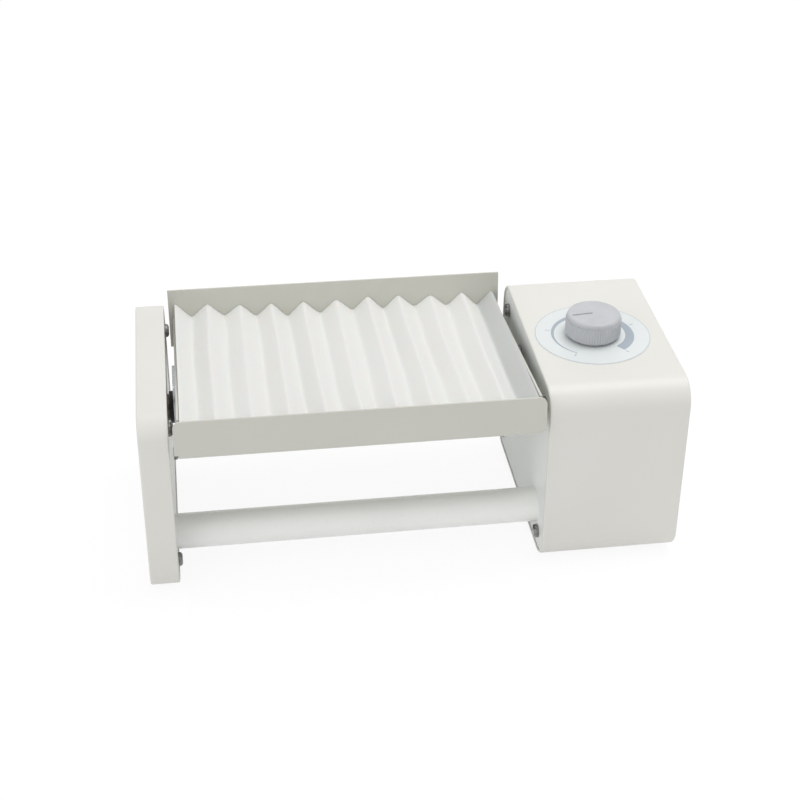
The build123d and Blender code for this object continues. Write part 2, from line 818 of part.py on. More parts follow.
def gear_points(teeth, centre_y, centre_z, tooth_angle):
    """Involute outline of a spur gear with one tooth centred on tooth_angle (degrees)."""
    pitch = gear_module * teeth / 2
    base = pitch * math.cos(math.radians(gear_pressure_angle))
    root = pitch - 1.25 * gear_module
    tip = pitch + gear_module
    half = (math.pi * gear_module / 2 - tooth_side_gap) / 2 / pitch
    involute_at_pitch = math.tan(math.radians(gear_pressure_angle)) - math.radians(gear_pressure_angle)
    flank = []
    for step in range(4):
        radius = max(base, root) + (tip - max(base, root)) * step / 3
        pressure = math.acos(min(1.0, base / radius))
        flank.append((radius, half + involute_at_pitch - (math.tan(pressure) - pressure)))
    flank = [(root, flank[0][1] + 0.15 / pitch)] + flank
    points = []
    for tooth in range(teeth):
        middle = math.radians(tooth_angle) + 2 * math.pi * tooth / teeth
        for radius, offset in flank:
            points.append((radius, middle - offset))
        for radius, offset in reversed(flank):
            points.append((radius, middle + offset))
    return [(centre_y + r * math.cos(a), centre_z + r * math.sin(a)) for r, a in points]


# Driven gear: a gap between teeth faces the pinion
with BuildPart() as driven_gear:
    with BuildSketch(side(gear_x0)):
        with BuildLine():
            Polyline(*gear_points(gear_teeth, 0, pivot_z, motor_angle + 180 / gear_teeth), close=True)
        make_face()
    extrude(amount=gear_face)
    for face_x, direction in ((gear_x0, 1), (gear_x1, -1)):
        with BuildSketch(side(face_x)):
            with Locations((0, pivot_z)):
                Circle(gear_module * gear_teeth / 2 - 3.5 * gear_module)
                Circle(gear_hub_radius, mode=Mode.SUBTRACT)
        extrude(amount=direction * gear_web_cut, mode=Mode.SUBTRACT)
    with BuildSketch(side(gear_x1)):
        with Locations((0, pivot_z)):
            Circle(gear_hub_radius)
    extrude(amount=gear_hub_length)
    with BuildSketch(side(gear_x0)):
        with Locations((0, pivot_z)):
            Circle(shaft_radius + shaft_clearance)
    extrude(amount=gear_face + gear_hub_length, mode=Mode.SUBTRACT)
    with BuildSketch(level(pivot_z + shaft_radius)):
        with Locations((gear_x1 + gear_hub_length / 2, 0)):
            Circle(grub_radius + grub_clearance)
    extrude(amount=gear_hub_radius, mode=Mode.SUBTRACT)
driven_gear.part.label = "driven_gear"
export_step(driven_gear.part, "parts/driven_gear.step")

with BuildPart() as gear_grub_screw:
    with BuildSketch(level(pivot_z + shaft_radius + grub_clearance)):
        with Locations((gear_x1 + gear_hub_length / 2, 0)):
            Circle(grub_radius)
    extrude(amount=grub_length)
gear_grub_screw.part.label = "gear_grub_screw"
export_step(gear_grub_screw.part, "parts/gear_grub_screw.step")

# Pinion on the output shaft of the geared motor
pinion_x0 = gear_x0 - pinion_overlap
pinion_x1 = gear_x1 + pinion_overlap
with BuildPart() as motor_pinion:
    with BuildSketch(side(pinion_x0)):
        with BuildLine():
            Polyline(*gear_points(pinion_teeth, motor_y, motor_z, motor_angle + 180), close=True)
        make_face()
    extrude(amount=pinion_x1 - pinion_x0)
    with BuildSketch(side(pinion_x1)):
        with Locations((motor_y, motor_z)):
            Circle(pinion_hub_radius)
    extrude(amount=pinion_hub_length)
    with BuildSketch(side(pinion_x0)):
        with Locations((motor_y, motor_z)):
            Circle(motor_shaft_radius + shaft_clearance)
    extrude(amount=pinion_x1 - pinion_x0 + pinion_hub_length, mode=Mode.SUBTRACT)
motor_pinion.part.label = "motor_pinion"
export_step(motor_pinion.part, "parts/motor_pinion.step")

with BuildPart() as motor_shaft:
    with BuildSketch(side(pinion_x0)):
        with Locations((motor_y, motor_z)):
            Circle(motor_shaft_radius)
    extrude(amount=bracket_x1 + motor_shaft_depth - pinion_x0 - shaft_clearance)
motor_shaft.part.label = "motor_shaft"
export_step(motor_shaft.part, "parts/motor_shaft.step")

# Geared motor: gearbox in front, motor can behind, nose in the bracket's hole
motor_screw_points = [
    (
        motor_y + motor_screw_circle * math.cos(math.radians(45 + 90 * k)),
        motor_z + motor_screw_circle * math.sin(math.radians(45 + 90 * k)),
    )
    for k in range(4)
]
with BuildPart() as gear_motor:
    with BuildSketch(side(bracket_x1)):
        with Locations((motor_y, motor_z)):
            Circle(gearbox_radius)
    extrude(amount=gearbox_length)
    with BuildSketch(side(bracket_x1 + gearbox_length)):
        with Locations((motor_y, motor_z)):
            Circle(motor_radius)
    extrude(amount=motor_length)
    fillet(gear_motor.faces().sort_by(Axis.X)[-1].edges(), radius=motor_radius * 0.1)
    with BuildSketch(side(bracket_x1)):
        with Locations((motor_y, motor_z)):
            Circle(gearbox_nose_radius)
    extrude(amount=-bracket_thick)
    with BuildSketch(side(bracket_x1 - bracket_thick)):
        with Locations((motor_y, motor_z)):
            Circle(motor_shaft_radius + shaft_clearance)
    extrude(amount=bracket_thick + motor_shaft_depth, mode=Mode.SUBTRACT)
    with BuildSketch(side(bracket_x1)):
        with Locations(*motor_screw_points):
            Circle(motor_screw_radius + screw_clearance)
    extrude(amount=motor_screw_length, mode=Mode.SUBTRACT)
gear_motor.part.label = "gear_motor"
export_step(gear_motor.part, "parts/gear_motor.step")

# Bent bracket that carries the motor on the floor of the housing
bracket_z0 = z_floor + shell_wall
with BuildPart() as motor_bracket:
    with BuildSketch(side(bracket_x0)):
        with Locations((motor_y, (bracket_z0 + motor_z + bracket_top_margin) / 2)):
            Rectangle(2 * bracket_half_width, motor_z + bracket_top_margin - bracket_z0)
        with Locations((motor_y, motor_z)):
            Circle(gearbox_nose_radius + screw_clearance, mode=Mode.SUBTRACT)
        with Locations(*motor_screw_points):
            Circle(motor_screw_radius + screw_clearance, mode=Mode.SUBTRACT)
    extrude(amount=bracket_thick)
    with BuildSketch(level(bracket_z0)):
        with Locations((bracket_x1 + bracket_foot_length / 2, motor_y)):
            Rectangle(bracket_foot_length, 2 * bracket_half_width)
        with Locations(*bracket_screws):
            Circle(bracket_screw_radius + screw_clearance, mode=Mode.SUBTRACT)
    extrude(amount=bracket_thick)
motor_bracket.part.label = "motor_bracket"
export_step(motor_bracket.part, "parts/motor_bracket.step")

motor_screw = pan_screw(
    motor_screw_radius, motor_screw_length, motor_screw_head, motor_screw_head_height, 0.8
)
with BuildPart() as motor_screws:
    for y, z in motor_screw_points:
        with Locations(facing(bracket_x0, y, z, -1).location):
            add(motor_screw)
motor_screws.part.label = "motor_screws"
export_step(motor_screws.part, "parts/motor_screws.step")

bracket_screw = pan_screw(
    bracket_screw_radius, bracket_screw_length, bracket_screw_head, bracket_screw_head_height, 1.0
)
with BuildPart() as bracket_foot_screws:
    for x, y in bracket_screws:
        with Locations((x, y_mid + y, bracket_z0 + bracket_thick)):
            add(bracket_screw)
bracket_foot_screws.part.label = "bracket_foot_screws"
export_step(bracket_foot_screws.part, "parts/bracket_foot_screws.step")

# Round printed dial plate on the top of the housing
with BuildPart() as dial_plate:
    with BuildSketch(level(z_top)):
        with Locations((knob_x, knob_y)):
            Circle(dial_radius)
            Circle(pot_bush_radius + screw_clearance, mode=Mode.SUBTRACT)
    extrude(amount=dial_thick)
dial_plate.part.label = "dial_plate"
export_step(dial_plate.part, "parts/dial_plate.step")

# Potentiometer under the top, held by a nut on its threaded bush
pot_z1 = z_top - shell_wall
pot_bush_top = z_top + pot_bush_length
knob_z0 = z_top + dial_thick + knob_gap
knob_z1 = knob_z0 + knob_height
pot_shaft_top = knob_z1 - knob_top_thick
with BuildPart() as potentiometer:
    with BuildSketch(level(pot_z1)):
        with Locations((knob_x, knob_y)):
            Circle(pot_radius)
    extrude(amount=-pot_length)
    with BuildSketch(level(pot_z1)):
        with Locations((knob_x, knob_y)):
            Circle(pot_bush_radius)
    extrude(amount=pot_bush_top - pot_z1)
    with BuildSketch(level(pot_z1 - pot_length)):
        with Locations((knob_x, knob_y - pot_radius)):
            Rectangle(pot_radius, pot_radius * 0.5)
    extrude(amount=shell_wall)
    with BuildSketch(level(pot_bush_top)):
        with Locations((knob_x, knob_y)):
            Circle(pot_shaft_radius + shaft_clearance)
    extrude(amount=-(pot_bush_top - pot_z1 + pot_length - shell_wall), mode=Mode.SUBTRACT)
potentiometer.part.label = "potentiometer"
export_step(potentiometer.part, "parts/potentiometer.step")

with BuildPart() as potentiometer_nut:
    with BuildSketch(level(z_top + dial_thick)):
        with Locations((knob_x, knob_y)):
            RegularPolygon(pot_nut_flats / 2, 6, major_radius=False)
            Circle(pot_bush_radius + screw_clearance, mode=Mode.SUBTRACT)
    extrude(amount=pot_nut_thick)
potentiometer_nut.part.label = "potentiometer_nut"
export_step(potentiometer_nut.part, "parts/potentiometer_nut.step")

with BuildPart() as potentiometer_shaft:
    with BuildSketch(level(pot_z1 - pot_length + shell_wall + shaft_clearance)):
        with Locations((knob_x, knob_y)):
            Circle(pot_shaft_radius)
    extrude(amount=pot_shaft_top - (pot_z1 - pot_length + shell_wall + shaft_clearance))
potentiometer_shaft.part.label = "potentiometer_shaft"
export_step(potentiometer_shaft.part, "parts/potentiometer_shaft.step")

# Speed knob with a finely ribbed side, a smooth crown and a pointer groove
rib_points = []
for rib in range(2 * knob_ribs):
    angle = math.pi * rib / knob_ribs
    reach = knob_radius if rib % 2 == 0 else knob_radius - knob_rib_depth
    rib_points.append((knob_x + reach * math.cos(angle), knob_y + reach * math.sin(angle)))
knob_grub_z = (knob_z0 + knob_cavity_height + pot_shaft_top) / 2
with BuildPart() as speed_knob:
    with BuildSketch(level(knob_z0)):
        with Locations((knob_x, knob_y)):
            Circle(knob_radius - knob_foot_inset)
    extrude(amount=knob_foot_height)
    with BuildSketch(level(knob_z1 - knob_cap_height)):
        with Locations((knob_x, knob_y)):
            Circle(knob_radius - knob_rib_depth - knob_cap_inset)
    extrude(amount=knob_cap_height)
    fillet(speed_knob.faces().sort_by(Axis.Z)[-1].edges(), radius=knob_edge_round)
    with BuildSketch(level(knob_z0 + knob_foot_height)):
        with BuildLine():
            Polyline(*rib_points, close=True)
        make_face()
    extrude(amount=knob_height - knob_foot_height - knob_cap_height)
    with BuildSketch(level(knob_z0)):
        with Locations((knob_x, knob_y)):
            Circle(knob_cavity_radius)
    extrude(amount=knob_cavity_height, mode=Mode.SUBTRACT)
    with BuildSketch(level(knob_z0)):
        with Locations((knob_x, knob_y)):
            Circle(pot_shaft_radius + shaft_clearance)
    extrude(amount=pot_shaft_top + shaft_clearance - knob_z0, mode=Mode.SUBTRACT)
    with BuildSketch(level(knob_z1)):
        with Locations((knob_x, knob_y)):
            with PolarLocations((pointer_start + pointer_end) / 2, 1, start_angle=pointer_angle):
                SlotOverall(pointer_end - pointer_start, pointer_width)
    extrude(amount=-pointer_depth, mode=Mode.SUBTRACT)
    with BuildSketch(Plane(origin=(knob_x, y_mid + knob_y + knob_radius, knob_grub_z), z_dir=(0, -1, 0))):
        Circle(grub_radius + grub_clearance)
    extrude(amount=knob_radius - pot_shaft_radius / 2, mode=Mode.SUBTRACT)
speed_knob.part.label = "speed_knob"
export_step(speed_knob.part, "parts/speed_knob.step")

with BuildPart() as knob_grub_screw:
    grub_y = y_mid + knob_y + pot_shaft_radius + grub_clearance
    with BuildSketch(Plane(origin=(knob_x, grub_y, knob_grub_z), z_dir=(0, 1, 0))):
        Circle(grub_radius)
    extrude(amount=2 * grub_length)
knob_grub_screw.part.label = "knob_grub_screw"
export_step(knob_grub_screw.part, "parts/knob_grub_screw.step")

# Control board on four standoffs behind the outer panel
board_x1 = outer_panel_back - standoff_length
board_x0 = board_x1 - board_thick
board_z = z_floor + board_height
board_holes = [
    (sy * (board_length / 2 - board_hole_inset), board_z + sz * (board_width / 2 - board_hole_inset))
    for sy in (-1, 1)
    for sz in (-1, 1)
]
with BuildPart() as board_standoffs:
    with BuildSketch(side(board_x1)):
        with Locations(*board_holes):
            Circle(standoff_radius)
            Circle(board_screw_radius + screw_clearance, mode=Mode.SUBTRACT)
    extrude(amount=standoff_length)
board_standoffs.part.label = "board_standoffs"
export_step(board_standoffs.part, "parts/board_standoffs.step")

with BuildPart() as control_board:
    with BuildSketch(side(board_x0)):
        with Locations((0, board_z)):
            Rectangle(board_length, board_width)
        with Locations(*board_holes):
            Circle(board_screw_radius + screw_clearance, mode=Mode.SUBTRACT)
    extrude(amount=board_thick)
control_board.part.label = "control_board"
export_step(control_board.part, "parts/control_board.step")

board_screw = pan_screw(
    board_screw_radius, standoff_length / 2 + board_thick, board_screw_head, board_screw_head_height, 0.8
)
with BuildPart() as board_screws:
    for y, z in board_holes:
        with Locations(facing(board_x0, y, z, -1).location):
            add(board_screw)
board_screws.part.label = "board_screws"
export_step(board_screws.part, "parts/board_screws.step")

# Parts soldered to the board: terminal block, two capacitors and the driver's heat sink
with BuildPart() as board_components:
    with BuildSketch(side(board_x0)):
        with Locations((-board_length * 0.22, board_z - board_width * 0.28)):
            Rectangle(board_length * 0.25, board_width * 0.22)
    extrude(amount=-board_width * 0.28)
    with BuildSketch(side(board_x0)):
        with Locations(
            (-board_length * 0.2, board_z + board_width * 0.18), (board_length * 0.05, board_z + board_width * 0.18)
        ):
            Circle(board_width * 0.13)
    extrude(amount=-board_width * 0.3)
    with BuildSketch(side(board_x0)):
        with Locations((board_length * 0.24, board_z - board_width * 0.05)):
            Rectangle(board_length * 0.2, board_width * 0.55)
    extrude(amount=-board_width * 0.35)
board_components.part.label = "board_components"
export_step(board_components.part, "parts/board_components.step")

# Power socket in the back wall
socket_plane = back_wall(socket_x, socket_z)
with BuildPart() as power_socket:
    with BuildSketch(socket_plane):
        Circle(socket_flange_radius)
    extrude(amount=-socket_flange_thick)
    with BuildSketch(socket_plane):
        Circle(socket_radius)
    extrude(amount=socket_length)
    with BuildSketch(socket_plane.offset(-socket_flange_thick)):
        Circle(socket_bore)
        Circle(socket_pin, mode=Mode.SUBTRACT)
    extrude(amount=socket_bore_depth, mode=Mode.SUBTRACT)
power_socket.part.label = "power_socket"
export_step(power_socket.part, "parts/power_socket.step")

with BuildPart() as power_socket_nut:
    with BuildSketch(socket_plane.offset(shell_wall)):
        RegularPolygon(socket_nut_flats / 2, 6, major_radius=False)
        Circle(socket_radius + screw_clearance, mode=Mode.SUBTRACT)
    extrude(amount=socket_nut_thick)
power_socket_nut.part.label = "power_socket_nut"
export_step(power_socket_nut.part, "parts/power_socket_nut.step")
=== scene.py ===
# %% [markdown]
# A bench tube rocker: a sheet-metal tray with a wavy foam mat tips to and fro between
# a slim post and a motor housing. The solid parts come ready made and to size as a
# fixed frame. This lesson gives every surface its real finish, makes the foam mat and
# the print on the dial, and then adds camera, light and floor.

# %% Load the frame and keep its box
import json
import math

import bpy
import numpy as np
from mathutils import Matrix, Vector


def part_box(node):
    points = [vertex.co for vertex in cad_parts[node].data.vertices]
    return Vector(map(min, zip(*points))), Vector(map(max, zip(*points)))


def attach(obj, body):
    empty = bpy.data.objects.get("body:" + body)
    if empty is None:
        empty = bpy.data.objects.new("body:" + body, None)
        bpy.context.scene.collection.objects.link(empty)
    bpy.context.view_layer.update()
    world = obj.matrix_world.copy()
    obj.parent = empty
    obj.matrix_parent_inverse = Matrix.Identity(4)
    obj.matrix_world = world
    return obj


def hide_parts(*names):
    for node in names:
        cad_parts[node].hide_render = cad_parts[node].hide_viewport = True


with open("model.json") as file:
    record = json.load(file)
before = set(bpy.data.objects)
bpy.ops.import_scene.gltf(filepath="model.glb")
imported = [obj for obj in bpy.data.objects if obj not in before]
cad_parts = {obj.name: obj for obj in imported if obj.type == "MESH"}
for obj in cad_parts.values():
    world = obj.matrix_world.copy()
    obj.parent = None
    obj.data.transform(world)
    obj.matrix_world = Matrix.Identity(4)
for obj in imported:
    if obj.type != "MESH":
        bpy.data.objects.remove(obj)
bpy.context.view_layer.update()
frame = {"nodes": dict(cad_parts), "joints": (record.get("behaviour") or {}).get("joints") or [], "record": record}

# %% [markdown]
# Everything in Blender is in metres here, and real parts are dimensioned in
# millimetres, so one constant turns one into the other. A hex colour is what a paint
# card or a photograph gives. Shaders mix light, not screen values, so one function
# turns the hex into linear values.

# %% Units and colour
MM = 0.001


def linear(hex_colour):
    """sRGB hex to linear RGBA: c/12.92 below 0.04045, else ((c+0.055)/1.055)^2.4."""
    channels = [int(hex_colour[i:i + 2], 16) / 255 for i in (1, 3, 5)]
    return [c / 12.92 if c <= 0.04045 else ((c + 0.055) / 1.055) ** 2.4 for c in channels] + [1.0]


print("middle gray in linear light", [round(c, 3) for c in linear("#808080")])

# %% [markdown]
# A material is a graph of nodes. Adding a node, setting it and linking it is the same
# job each time, so one small function does it. An input is given by its name, with _
# for a space, or as i3 for the fourth one where two inputs share a name.

# %% One function that adds a node


def add(tree, kind, settings=None, **inputs):
    """Adds a node of that kind, sets its properties, and links or sets each input."""
    node = tree.nodes.new(kind)
    for name, value in (settings or {}).items():
        setattr(node, name, value)
    for name, value in inputs.items():
        by_number = name[0] == "i" and name[1:].isdigit()
        socket = node.inputs[int(name[1:]) if by_number else name.replace("_", " ")]
        if isinstance(value, bpy.types.NodeSocket):
            tree.links.new(value, socket)
        else:
            socket.default_value = value
    return node


def new_material(name, **constants):
    """A material with one Principled shader, whose constants are set on its own sockets."""
    material = bpy.data.materials.new(name)
    material.use_nodes = True
    shader = material.node_tree.nodes["Principled BSDF"]
    for socket, value in constants.items():
        shader.inputs[socket.replace("_", " ")].default_value = value
    return material, material.node_tree, shader


print("node function ready")

# %% [markdown]
# Paint, plastic and metal differ in their numbers, but their graphs end alike. A slow
# pattern picks a colour between two close tones, so no surface is dead even. A fine
# pattern, the grain, moves the roughness a little and bends the light. Noise values
# rarely leave 0.3 to 0.7, so that span is stretched over the whole range.

# %% The shared end of each surface's graph
NOISE_SPAN = (0.3, 0.7)


def wire_surface(tree, shader, tone, tone_span, tones, grain, roughness, strength, depth):
    """Tone picks between two hex tones, grain spans the roughness and bumps depth metres."""
    share = add(tree, "ShaderNodeMapRange", Value=tone, i1=tone_span[0], i2=tone_span[1])
    colour = add(tree, "ShaderNodeMix", {"data_type": "RGBA"}, Factor=share.outputs[0],
                 i6=linear(tones[0]), i7=linear(tones[1]))
    gloss = add(tree, "ShaderNodeMapRange", Value=grain, i1=NOISE_SPAN[0], i2=NOISE_SPAN[1],
                i3=roughness[0], i4=roughness[1])
    bump = add(tree, "ShaderNodeBump", Height=grain, Strength=strength, Distance=depth)
    tree.links.new(colour.outputs[2], shader.inputs["Base Color"])
    tree.links.new(gloss.outputs[0], shader.inputs["Roughness"])
    tree.links.new(bump.outputs[0], shader.inputs["Normal"])


print("noise span", NOISE_SPAN)

# %% [markdown]
# The housing, the post and the tray are sheet steel with a powder coat. The powder is
# sprayed dry and baked, so it levels into a smooth skin with a very faint orange peel,
# and it looks satin. Orange peel on real coats has waves of about 2 mm.

# %% Powder coat
PEEL_WAVE = 2.0 * MM
PEEL_DEPTH = 0.02 * MM
TONE_WAVE = 60.0 * MM


def powder_coat(name, dark_hex, light_hex, roughness=0.42):
    """Satin baked coat: fine noise for the orange peel, slow noise for the tone."""
    material, tree, shader = new_material(name, IOR=1.5)
    place = add(tree, "ShaderNodeTexCoord").outputs["Object"]
    peel = add(tree, "ShaderNodeTexNoise", Vector=place, Scale=1 / PEEL_WAVE, Detail=2.0)
    tone = add(tree, "ShaderNodeTexNoise", Vector=place, Scale=1 / TONE_WAVE, Detail=3.0)
    wire_surface(tree, shader, tone.outputs[0], NOISE_SPAN, (dark_hex, light_hex),
                 peel.outputs[0], (roughness - 0.03, roughness + 0.03), 0.12, PEEL_DEPTH)
    return material


shell_coat = powder_coat("powder_coat_warm_white", "#E1E0DA", "#E4E3DE")
panel_coat = powder_coat("powder_coat_panel", "#EBEEEC", "#EFF2F0")
tray_coat = powder_coat("powder_coat_tray", "#CCCCC3", "#CFCFC6")
bar_coat = powder_coat("powder_coat_crossbar", "#F5F6F3", "#FAFBF8", 0.3)
print("powder coats", [m.name for m in (shell_coat, panel_coat, tray_coat, bar_coat)])

# %% [markdown]
# The mat is open-cell polyurethane foam, cut in waves. Light soaks into it, so it has
# no gloss, a little light comes back out beside where it went in, and its pores show
# as a fine grain, darkened with painted shade in their hollows. Real pores are about
# 0.5 mm, just below a pixel here, so the grain is drawn at 0.9 mm, with lumps of 4 mm
# laid over it. The last slope, next to the end wall and the housing at the drive, is
# grayed with painted shade, so the tone also follows the place along the mat.

# %% Foam
PORE = 0.9 * MM
PORE_DEPTH = 0.15 * MM
LUMP = 4.0 * MM
LUMP_DEPTH = 0.4 * MM
LAST_SLOPE = 11.5 * MM
# Painted shade on the foam's last slope: its colour turns grayer between these two places along x.
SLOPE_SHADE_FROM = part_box("wave_mat")[1][0] - LAST_SLOPE - 1.5 * MM
SLOPE_SHADE_FULL = SLOPE_SHADE_FROM + 2.5 * MM


def open_cell_foam(name, pore_shade_hex, light_hex, slope_shade_hex):
    """Matt white foam: cells bump the pores and paint shade into them, soft noise bumps the lumps, and painted
    shade grays the last slope.
    """
    material, tree, shader = new_material(
        name, Roughness=0.95, IOR=1.3, Specular_IOR_Level=0.2, Subsurface_Weight=0.15,
        Subsurface_Scale=2.0 * MM, Sheen_Weight=0.12, Sheen_Roughness=0.6)
    place = add(tree, "ShaderNodeTexCoord").outputs["Object"]
    pores = add(tree, "ShaderNodeTexVoronoi", Vector=place, Scale=1 / PORE).outputs["Distance"]
    lumps = add(tree, "ShaderNodeTexNoise", Vector=place, Scale=1 / LUMP, Detail=4.0)
    # Painted shade in the pores: the darker tone sits where each cell's pore is.
    share = add(tree, "ShaderNodeMapRange", Value=pores, i1=0.0, i2=0.35)
    pore_shaded = add(tree, "ShaderNodeMix", {"data_type": "RGBA"}, Factor=share.outputs[0],
                i6=linear(pore_shade_hex), i7=linear(light_hex))
    # Painted shade on the last slope: the colour is grayed by the place along x.
    along = add(tree, "ShaderNodeSeparateXYZ", Vector=place)
    slope_shade = add(tree, "ShaderNodeMapRange", Value=along.outputs["X"], i1=SLOPE_SHADE_FROM, i2=SLOPE_SHADE_FULL)
    colour = add(tree, "ShaderNodeMix", {"data_type": "RGBA"}, Factor=slope_shade.outputs[0],
                 i6=pore_shaded.outputs[2], i7=linear(slope_shade_hex))
    fine = add(tree, "ShaderNodeBump", Height=pores, Strength=0.35, Distance=PORE_DEPTH)
    coarse = add(tree, "ShaderNodeBump", Height=lumps.outputs[0], Strength=0.25,
                 Distance=LUMP_DEPTH, Normal=fine.outputs[0])
    tree.links.new(colour.outputs[2], shader.inputs["Base Color"])
    tree.links.new(coarse.outputs[0], shader.inputs["Normal"])
    return material


# The first tone is the painted shade in the pores and the third the painted shade of the last slope.
foam = open_cell_foam("white_open_cell_foam", "#DDDEDA", "#E8E8E5", "#C8CAC8")
print("foam grayer from x", round(SLOPE_SHADE_FROM, 4), "to", round(SLOPE_SHADE_FULL, 4))

# %% [markdown]
# Moulded plastics and rubber come from steel moulds that are spark-eroded to a fine
# grain of about 0.2 mm, drawn here at 0.6 mm so that it shows. It scatters the
# highlight, so they look satin. The knob is gray ABS, the collars and the socket are
# black nylon, the feet are rubber, the dial is a polycarbonate film, and the circuit
# board is glass laminate under green solder mask.

# %% Plastics and rubber
MOULD_GRAIN = 0.6 * MM
GRAIN_DEPTH = 0.02 * MM
FILM_DEPTH = 0.004 * MM
FLOW_WAVE = 12 * MM
FLOW_SPAN = (0.35, 0.65)


def moulded(name, dark_hex, light_hex, roughness, ior=1.46, grain_depth=GRAIN_DEPTH):
    """Moulded plastic: the mould's grain, and slow streaks of tone where the melt flowed."""
    material, tree, shader = new_material(name, IOR=ior)
    place = add(tree, "ShaderNodeTexCoord").outputs["Object"]
    grain = add(tree, "ShaderNodeTexNoise", Vector=place, Scale=1 / MOULD_GRAIN, Detail=3.0)
    flow = add(tree, "ShaderNodeTexNoise", Vector=place, Scale=1 / FLOW_WAVE, Detail=2.0)
    wire_surface(tree, shader, flow.outputs[0], FLOW_SPAN, (dark_hex, light_hex),
                 grain.outputs[0], (roughness - 0.04, roughness + 0.04), 0.4, grain_depth)
    return material


knob_abs = moulded("gray_abs", "#BCBEC2", "#C2C4C8", 0.38)
dial_film = moulded("printed_polycarbonate_film", "#DFE4E4", "#E2E6E6", 0.35, 1.58, FILM_DEPTH)
print_ink = moulded("blue_gray_screen_ink", "#A5AFB9", "#A9B3BD", 0.45, 1.5, FILM_DEPTH)
black_nylon = moulded("black_nylon", "#161615", "#1B1B1A", 0.4)
foot_rubber = moulded("black_rubber", "#191918", "#1E1E1D", 0.8, 1.52)
board_mask = moulded("green_solder_mask", "#1B6236", "#1F6B3C", 0.3)
part_epoxy = moulded("black_moulded_epoxy", "#222226", "#26262A", 0.5)
print("plastics", [m.name for m in (knob_abs, dial_film, print_ink, black_nylon, foot_rubber)])

# %% [markdown]
# The metals inside are hidden in use, but the part is also seen in its single pieces.
# Cut, drawn and ground metal keeps the marks of the tool in one direction, so the
# noise is squeezed eight times along that axis, from streaks 4 mm long to 0.5 mm wide.

# %% Metals
MARK_LENGTH = 4.0 * MM
MARK_DEPTH = 0.01 * MM
ALONG_X, ALONG_Z, ROUND_X, EVEN = (8, 1, 1), (1, 1, 8), (1, 8, 8), (1, 1, 1)


def metal(name, dark_hex, light_hex, roughness, squeeze=ALONG_Z):
    """Metal with tool marks: a noise squeezed along an axis gives tone, gloss and relief."""
    material, tree, shader = new_material(name, Metallic=1.0)
    place = add(tree, "ShaderNodeTexCoord").outputs["Object"]
    squeezed = add(tree, "ShaderNodeMapping", Vector=place, Scale=squeeze)
    marks = add(tree, "ShaderNodeTexNoise", Vector=squeezed.outputs[0], Scale=1 / MARK_LENGTH,
                Detail=4.0).outputs[0]
    wire_surface(tree, shader, marks, NOISE_SPAN, (dark_hex, light_hex),
                 marks, (roughness - 0.05, roughness + 0.05), 0.2, MARK_DEPTH)
    return material


ground_steel = metal("ground_steel", "#ABACAE", "#B9BABC", 0.28)
zinc_plate = metal("zinc_plated_steel", "#B2B6BA", "#C2C6C9", 0.35)
turned_aluminium = metal("turned_aluminium", "#C2C4C6", "#D0D2D4", 0.32, ALONG_X)
motor_can = metal("nickel_plated_can", "#A5A39D", "#B4B2AC", 0.3, ROUND_X)
cut_brass = metal("cut_brass", "#C8A35A", "#D9B56A", 0.28)
sintered_bronze = metal("sintered_bronze", "#756B5E", "#8A7F70", 0.5, EVEN)
print("metals", [m.name for m in (ground_steel, zinc_plate, turned_aluminium, motor_can)])

# %% [markdown]
# Black oxide turns the skin of a steel screw into a dark, dense layer, and a film of
# oil keeps it glossy. It is no bare metal any more, so it gets a high IOR instead of
# the metallic setting. On the heads it has worn to a gray in spots of about 1.5 mm.

# %% Black oxide
WEAR_SPOT = 1.5 * MM
WEAR_DEPTH = 0.02 * MM
screw_black, oxide_tree, oxide_shader = new_material(
    "black_oxide_steel", IOR=2.0, Coat_Weight=0.3, Coat_Roughness=0.2)
oxide_place = add(oxide_tree, "ShaderNodeTexCoord").outputs["Object"]
wear = add(oxide_tree, "ShaderNodeTexNoise", Vector=oxide_place, Scale=1 / WEAR_SPOT,
           Detail=3.0).outputs[0]
wire_surface(oxide_tree, oxide_shader, wear, (0.45, 0.8), ("#626260", "#868683"),
             wear, (0.25, 0.4), 0.2, WEAR_DEPTH)
print("screws", screw_black.name)

# %% [markdown]
# A part that comes with the frame keeps its shape and only changes its finish. The
# record says which material slot each node belongs to, so one table from slot to
# material dresses them all, and a slot that was forgotten would stop here.

# %% Dress the frame's own parts
FINISH = {
    "body_paint": shell_coat, "panel_paint": panel_coat, "tray_paint": tray_coat,
    "bar_paint": bar_coat, "foam": foam, "black_screw": screw_black,
    "black_collar": black_nylon, "foot_rubber": foot_rubber, "knob_plastic": knob_abs,
    "dial_print": dial_film, "cast_aluminium": turned_aluminium, "bright_steel": zinc_plate,
    "steel": ground_steel, "motor_case": motor_can, "board_laminate": board_mask,
    "board_parts": part_epoxy, "socket_plastic": black_nylon, "bush_bronze": sintered_bronze,
    "pinion_brass": cut_brass,
}
for row in frame["record"]["subparts"]:
    node = frame["nodes"][row["node"]]
    node.data.materials.clear()
    node.data.materials.append(FINISH[row["material_slot"]])
print(len(frame["nodes"]), "parts dressed")

# %% [markdown]
# The tray tips about its pivot, and everything in it is easiest to describe flat. So
# the tray has its own coordinates, x along it, y to the back and z up, all measured
# from the pivot in millimetres, and one function tips them into the frame. A second
# function turns arrays of points and faces into a piece.

# %% The tray's own coordinates
TRAY_TILT = math.radians(6.7)
pivot = np.array(next(j for j in frame["joints"] if j["name"] == "tray_rock")["pos_m"])


def tip(points):
    """Tray millimetres to frame metres: turned about X by minus the tilt, and shifted."""
    x, y, z = np.moveaxis(np.asarray(points, float), -1, 0)
    turned = np.stack([x, y * math.cos(TRAY_TILT) + z * math.sin(TRAY_TILT),
                       z * math.cos(TRAY_TILT) - y * math.sin(TRAY_TILT)], -1)
    return turned * MM + pivot * np.array([0, 1, 1])


